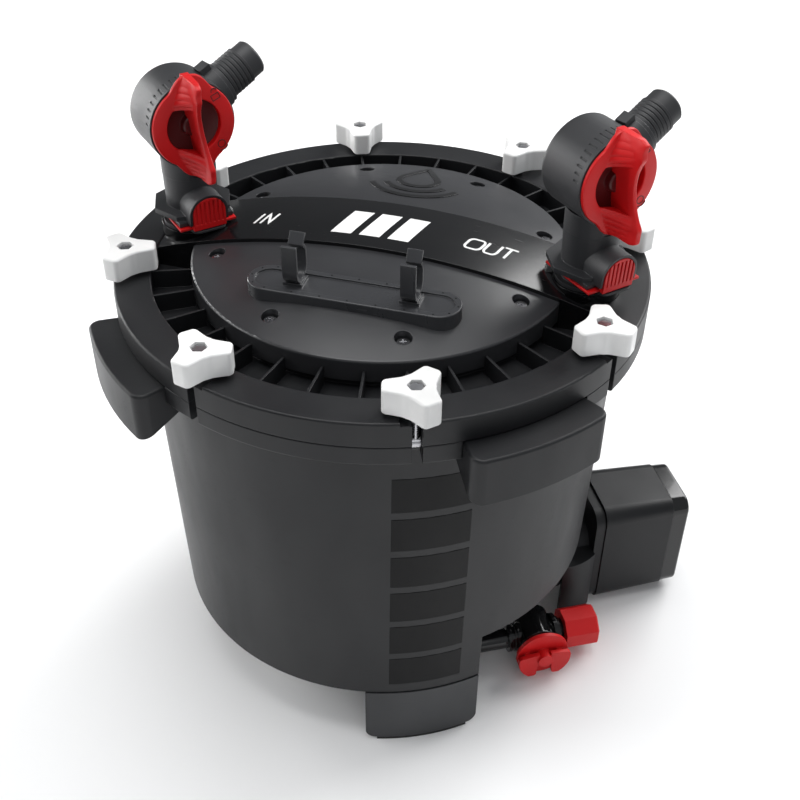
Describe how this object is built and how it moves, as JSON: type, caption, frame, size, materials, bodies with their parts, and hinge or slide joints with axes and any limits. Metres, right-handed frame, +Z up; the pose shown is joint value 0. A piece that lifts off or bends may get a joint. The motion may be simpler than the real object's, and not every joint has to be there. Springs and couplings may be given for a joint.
{
  "type": "canister filter",
  "caption": "Round canister filter with a clamped ribbed lid, lever hose valves, a side pump, a drain valve and stacked media baskets.",
  "frame": {"origin": "middle of the bounding box's base, on the plane the rubber feet stand on; the canister's own axis is 28.9 mm towards -X from it", "axes": "+Z up, +X from the inlet valve to the outlet valve and the pump's side, -Y the front with the cable clips"},
  "size_m": [0.4178, 0.36, 0.4436],
  "materials": {
    "body_plastic": "fine moulded texture",
    "lid_plastic": "satin moulded texture",
    "tray_plastic": "satin",
    "foot_plastic": "satin",
    "valve_plastic": "fine moulded texture",
    "pump_plastic": "fine moulded texture",
    "gloss_black": "polished",
    "red_plastic": "satin gloss",
    "white_knob": "satin",
    "steel": "bright turned",
    "rubber": "matt",
    "valve_core": "smooth",
    "impeller_plastic": "smooth",
    "ceramic": "ground",
    "magnet": "coated",
    "stator": "varnished copper and iron",
    "basket_plastic": "satin",
    "filter_foam": "open-cell foam"
  },
  "bodies": {
    "filter": {"base_feet": "foot_plastic", "cable_inlet": "rubber", "canister": "body_plastic", "carry_handles": "body_plastic", "clamp_pins": "steel", "clip_tray": "tray_plastic", "cover_screws": "steel", "drain_pipe": "gloss_black", "drain_valve_body": "gloss_black", "foam_sleeves": "filter_foam", "foot_pads": "rubber", "impeller_shaft": "ceramic", "inlet_nozzle": "valve_plastic", "inlet_valve_body": "valve_plastic", "lid_bridge": "lid_plastic", "lid_cover": "lid_plastic", "lid_frame": "body_plastic", "lid_seal": "rubber", "lower_basket": "basket_plastic", "middle_basket": "basket_plastic", "motor_case": "pump_plastic", "motor_end_cap": "gloss_black", "outlet_nozzle": "valve_plastic", "outlet_valve_body": "valve_plastic", "pump_housing": "pump_plastic", "riser_tube": "basket_plastic", "stator_coil": "stator", "upper_basket": "basket_plastic", "volute_cover": "pump_plastic"},
    "clamp_bolt_1": {"clamp_bolt_1": "steel"},
    "clamp_knob_1": {"clamp_knob_1": "white_knob"},
    "clamp_bolt_2": {"clamp_bolt_2": "steel"},
    "clamp_knob_2": {"clamp_knob_2": "white_knob"},
    "clamp_bolt_3": {"clamp_bolt_3": "steel"},
    "clamp_knob_3": {"clamp_knob_3": "white_knob"},
    "clamp_bolt_4": {"clamp_bolt_4": "steel"},
    "clamp_knob_4": {"clamp_knob_4": "white_knob"},
    "clamp_bolt_5": {"clamp_bolt_5": "steel"},
    "clamp_knob_5": {"clamp_knob_5": "white_knob"},
    "clamp_bolt_6": {"clamp_bolt_6": "steel"},
    "clamp_knob_6": {"clamp_knob_6": "white_knob"},
    "clamp_bolt_7": {"clamp_bolt_7": "steel"},
    "clamp_knob_7": {"clamp_knob_7": "white_knob"},
    "clamp_bolt_8": {"clamp_bolt_8": "steel"},
    "clamp_knob_8": {"clamp_knob_8": "white_knob"},
    "inlet_valve_lever": {"inlet_lever": "red_plastic", "inlet_ball": "valve_core"},
    "inlet_release_tab": {"inlet_release": "red_plastic"},
    "outlet_valve_lever": {"outlet_lever": "red_plastic", "outlet_ball": "valve_core"},
    "outlet_release_tab": {"outlet_release": "red_plastic"},
    "drain_valve_handle": {"drain_handle": "red_plastic", "drain_plug": "valve_core"},
    "drain_outlet_cap": {"drain_cap": "red_plastic"},
    "rotor": {"impeller": "impeller_plastic", "rotor_magnet": "magnet"}
  },
  "joints": [
    {"name": "clamp_1_swing", "type": "hinge", "parent": "filter", "child": "clamp_bolt_1", "pos_m": [0.12819, 0.06506, 0.301], "axis": [-0.3827, 0.9239, 0], "range_deg": [0, 90]},
    {"name": "clamp_1_turn", "type": "hinge", "parent": "clamp_bolt_1", "child": "clamp_knob_1", "pos_m": [0.12819, 0.06506, 0.325], "axis": [0, 0, 1], "continuous": true},
    {"name": "clamp_2_swing", "type": "hinge", "parent": "filter", "child": "clamp_bolt_2", "pos_m": [0.03619, 0.15706, 0.301], "axis": [-0.9239, 0.3827, 0], "range_deg": [0, 90]},
    {"name": "clamp_2_turn", "type": "hinge", "parent": "clamp_bolt_2", "child": "clamp_knob_2", "pos_m": [0.03619, 0.15706, 0.325], "axis": [0, 0, 1], "continuous": true},
    {"name": "clamp_3_swing", "type": "hinge", "parent": "filter", "child": "clamp_bolt_3", "pos_m": [-0.09393, 0.15706, 0.301], "axis": [-0.9239, -0.3827, 0], "range_deg": [0, 90]},
    {"name": "clamp_3_turn", "type": "hinge", "parent": "clamp_bolt_3", "child": "clamp_knob_3", "pos_m": [-0.09393, 0.15706, 0.325], "axis": [0, 0, 1], "continuous": true},
    {"name": "clamp_4_swing", "type": "hinge", "parent": "filter", "child": "clamp_bolt_4", "pos_m": [-0.18593, 0.06506, 0.301], "axis": [-0.3827, -0.9239, 0], "range_deg": [0, 90]},
    {"name": "clamp_4_turn", "type": "hinge", "parent": "clamp_bolt_4", "child": "clamp_knob_4", "pos_m": [-0.18593, 0.06506, 0.325], "axis": [0, 0, 1], "continuous": true},
    {"name": "clamp_5_swing", "type": "hinge", "parent": "filter", "child": "clamp_bolt_5", "pos_m": [-0.18593, -0.06506, 0.301], "axis": [0.3827, -0.9239, 0], "range_deg": [0, 90]},
    {"name": "clamp_5_turn", "type": "hinge", "parent": "clamp_bolt_5", "child": "clamp_knob_5", "pos_m": [-0.18593, -0.06506, 0.325], "axis": [0, 0, 1], "continuous": true},
    {"name": "clamp_6_swing", "type": "hinge", "parent": "filter", "child": "clamp_bolt_6", "pos_m": [-0.09393, -0.15706, 0.301], "axis": [0.9239, -0.3827, 0], "range_deg": [0, 90]},
    {"name": "clamp_6_turn", "type": "hinge", "parent": "clamp_bolt_6", "child": "clamp_knob_6", "pos_m": [-0.09393, -0.15706, 0.325], "axis": [0, 0, 1], "continuous": true},
    {"name": "clamp_7_swing", "type": "hinge", "parent": "filter", "child": "clamp_bolt_7", "pos_m": [0.03619, -0.15706, 0.301], "axis": [0.9239, 0.3827, 0], "range_deg": [0, 90]},
    {"name": "clamp_7_turn", "type": "hinge", "parent": "clamp_bolt_7", "child": "clamp_knob_7", "pos_m": [0.03619, -0.15706, 0.325], "axis": [0, 0, 1], "continuous": true},
    {"name": "clamp_8_swing", "type": "hinge", "parent": "filter", "child": "clamp_bolt_8", "pos_m": [0.12819, -0.06506, 0.301], "axis": [0.3827, 0.9239, 0], "range_deg": [0, 90]},
    {"name": "clamp_8_turn", "type": "hinge", "parent": "clamp_bolt_8", "child": "clamp_knob_8", "pos_m": [0.12819, -0.06506, 0.325], "axis": [0, 0, 1], "continuous": true},
    {"name": "inlet_valve_turn", "type": "hinge", "parent": "filter", "child": "inlet_valve_lever", "pos_m": [-0.16637, 0, 0.4065], "axis": [0.7193, -0.6947, 0], "range_deg": [-90, 0]},
    {"name": "inlet_release_push", "type": "slide", "parent": "filter", "child": "inlet_release_tab", "axis": [-0.7193, 0.6947, 0], "range_m": [0, 0.003], "stiffness_N_per_m": 800},
    {"name": "outlet_valve_turn", "type": "hinge", "parent": "filter", "child": "outlet_valve_lever", "pos_m": [0.10863, 0, 0.4065], "axis": [0.7193, -0.6947, 0], "range_deg": [-90, 0]},
    {"name": "outlet_release_push", "type": "slide", "parent": "filter", "child": "outlet_release_tab", "axis": [-0.7193, 0.6947, 0], "range_m": [0, 0.003], "stiffness_N_per_m": 800},
    {"name": "drain_valve_turn", "type": "hinge", "parent": "filter", "child": "drain_valve_handle", "pos_m": [0.10665, -0.03793, 0.022], "axis": [0.4772, -0.8788, 0], "range_deg": [0, 90]},
    {"name": "drain_cap_turn", "type": "hinge", "parent": "filter", "child": "drain_outlet_cap", "pos_m": [0.13214, -0.02409, 0.022], "axis": [0.8788, 0.4772, 0], "continuous": true},
    {"name": "impeller_spin", "type": "hinge", "parent": "filter", "child": "rotor", "pos_m": [0.11727, 0.04521, 0.052], "axis": [0.8788, 0.4772, 0], "continuous": true}
  ]
}
